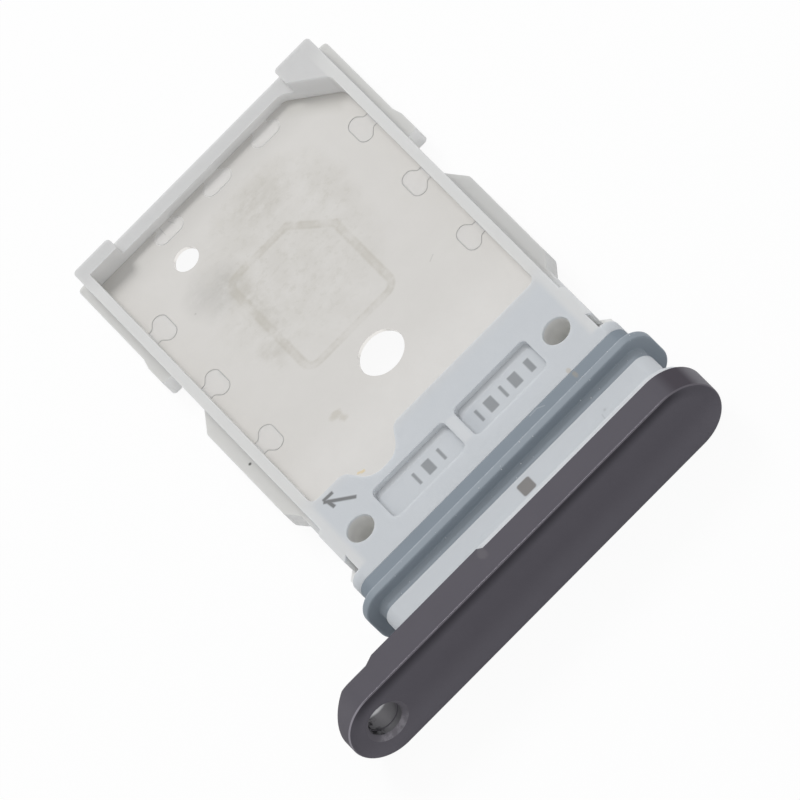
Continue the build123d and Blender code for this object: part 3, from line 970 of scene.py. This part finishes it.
def makeBar(s):
    bar = barBody(s)
    trim = loft("barTrim", [[(x, y, z) for x, y in barOutline(s)] for z in (-1.0, 4.0)])
    combine(bar, looseObject("barTrim", trim), "INTERSECT")
    bore, front, guideBack = s["bore"], s["front"], s["guideBack"]
    wall = bore + s["guideWall"]
    combine(bar, turned(s, "barGuide", [(s["back"] - s["tipDepth"], wall), (guideBack, wall)]), "UNION")
    mouth = bore + s["countersink"]
    ring, ringEnd = front + s["ringDepth"], front + s["ringDepth"] + s["ringWidth"]
    drill = [
        (front - 0.1, mouth + 0.1), (front + s["countersink"], bore), (ring, bore),
        (ring + s["ringSlope"], bore - s["ringHeight"]), (ringEnd, bore - s["ringHeight"]),
        (ringEnd + s["ringSlope"], bore), (guideBack + 0.5, bore),
    ]
    combine(bar, turned(s, "barDrill", drill), "DIFFERENCE")
    shape = bmesh.new()
    shape.from_mesh(bar.data)
    bpy.data.objects.remove(bar)
    bmesh.ops.remove_doubles(shape, verts=shape.verts, dist=mergeGap)
    bmesh.ops.recalc_face_normals(shape, faces=shape.faces)
    for face in shape.faces:
        centre = face.calc_center_median() / unit
        slanted = -0.98 < face.normal.y < -0.02 and centre.y < front + 0.2
        fromHole = math.hypot(centre.x - s["holeX"], centre.z - s["height"] / 2)
        if fromHole < bore + 0.01 and abs(face.normal.y) < 0.5:
            face.material_index = 2
        elif slanted:
            face.material_index = 3 if fromHole < mouth + 0.05 else 1
    piece = linkPiece("faceBar", finishMesh(shape, "faceBar", 20), "face_bar")
    paint(piece, barMetal, cutMetal, boreMetal, sinkMetal)
    weightNormals(piece)


makeBar(barSizes)
print("bar ready")


# Floor, light and camera
floorSizes = {"reach": 600.0, "contactY": -8.97, "farY": 10.03, "farZ": 0.52, "colour": (0.9, 0.9, 0.9),
              "white": 0.94}
skySizes = {"low": 0.53, "high": 0.57, "highAt": 0.9, "front": 0.12, "colour": (0.97, 0.985, 1.0)}
keySizes = {"azimuth": 0.0, "elevation": 48.0, "distance": 300.0, "width": 125.0, "power": 0.41}
cameraSizes = {  # found by fitting the photo, in degrees, millimetres and picture points
    "elevation": 47.198, "azimuth": -1.0686, "roll": 46.0306, "distance": 433.55, "focal": 15204.0,
    "aimRight": 77.2, "aimDown": 110.6, "picture": 800, "sensor": 36.0,
}


def seenDirectly(tree):
    # One for rays from the camera and for mirrored or clear views, nothing for lighting
    path = tree.nodes.new("ShaderNodeLightPath").outputs
    return strongest(tree, [path[name] for name in ("Is Camera Ray", "Is Glossy Ray", "Is Transmission Ray")])


def blendInto(tree, outKind, factor, first, second):
    blend = tree.nodes.new("ShaderNodeMixShader")
    tree.links.new(factor, blend.inputs[0])
    tree.links.new(first.outputs[0], blend.inputs[1])
    tree.links.new(second.outputs[0], blend.inputs[2])
    tree.links.new(blend.outputs[0], tree.nodes.new(outKind).inputs["Surface"])


def makeFloor(s):
    # Tilted by the little that the tray leans at rest
    slope = s["farZ"] / (s["farY"] - s["contactY"])
    corners = []
    for sx, sy in ((-1, -1), (1, -1), (1, 1), (-1, 1)):
        corners.append((sx * s["reach"], sy * s["reach"], (sy * s["reach"] - s["contactY"]) * slope))
    floor = looseObject("floor", meshFrom("floor", corners, [(0, 1, 2, 3)]))
    material = bpy.data.materials.new("paleFloor")
    material.use_nodes = True
    tree = material.node_tree
    tree.nodes.clear()
    diffuse = tree.nodes.new("ShaderNodeBsdfDiffuse")
    feed(tree, diffuse.inputs["Color"], s["colour"])
    glow = tree.nodes.new("ShaderNodeEmission")
    share = times(tree, seenDirectly(tree), s["white"])
    blendInto(tree, "ShaderNodeOutputMaterial", share, diffuse, glow)
    paint(floor, material)


def makeWorld(s):
    # Even sky, a little stronger from the front
    world = bpy.data.worlds.new("studio")
    scene.world = world
    world.use_nodes = True
    tree = world.node_tree
    tree.nodes.clear()
    around = tree.nodes.new("ShaderNodeBackground")
    white = tree.nodes.new("ShaderNodeBackground")
    direction = tree.nodes.new("ShaderNodeSeparateXYZ")
    tree.links.new(tree.nodes.new("ShaderNodeTexCoord").outputs["Generated"], direction.inputs[0])
    level = smoothRange(tree, direction.outputs[2], 0.0, s["highAt"], s["low"], s["high"])
    ahead = math2(tree, "MAXIMUM", times(tree, direction.outputs[1], -s["front"]), 0.0)
    tree.links.new(plus(tree, level, ahead), around.inputs["Strength"])
    feed(tree, around.inputs["Color"], s["colour"])
    feed(tree, white.inputs["Color"], (1.0, 1.0, 1.0))
    blendInto(tree, "ShaderNodeOutputWorld", seenDirectly(tree), around, white)


def makeKey(s):
    lamp = bpy.data.lights.new("keyLight", "AREA")
    lamp.shape = "DISK"
    lamp.size = s["width"] * unit
    lamp.energy = s["power"]
    holder = looseObject("keyLight", lamp)
    a, e = math.radians(s["azimuth"]), math.radians(s["elevation"])
    way = Vector((math.sin(a) * math.cos(e), math.cos(a) * math.cos(e), math.sin(e)))
    holder.location = cardCentre * unit + way * s["distance"] * unit
    holder.rotation_euler = way.to_track_quat("Z", "Y").to_euler()


def makeCamera(s):
    e, a, turn = (math.radians(s[name]) for name in ("elevation", "azimuth", "roll"))
    back = Vector((-math.sin(a) * math.cos(e), -math.cos(a) * math.cos(e), math.sin(e)))
    level = Vector((math.cos(a), -math.sin(a), 0))
    rise = Vector((math.sin(a) * math.sin(e), math.cos(a) * math.sin(e), math.cos(e)))
    right = math.cos(turn) * level - math.sin(turn) * rise
    up = math.sin(turn) * level + math.cos(turn) * rise
    place = cardCentre + s["distance"] * back
    scale = s["focal"] / s["distance"]
    target = cardCentre + (right * s["aimRight"] - up * s["aimDown"]) / scale
    backward = (place - target).normalized()
    across = up.cross(backward).normalized()
    upright = backward.cross(across)
    lens = bpy.data.cameras.new("camera")
    lens.sensor_width = s["sensor"]
    lens.lens = s["focal"] / s["picture"] * s["sensor"]
    lens.clip_start = 0.01
    lens.clip_end = 10.0
    camera = looseObject("camera", lens)
    camera.matrix_world = Matrix((across, upright, backward)).transposed().to_4x4()
    camera.location = place * unit
    scene.camera = camera


makeFloor(floorSizes)
makeWorld(skySizes)
makeKey(keySizes)
makeCamera(cameraSizes)
scene.view_settings.view_transform = "Standard"
print("stage ready")
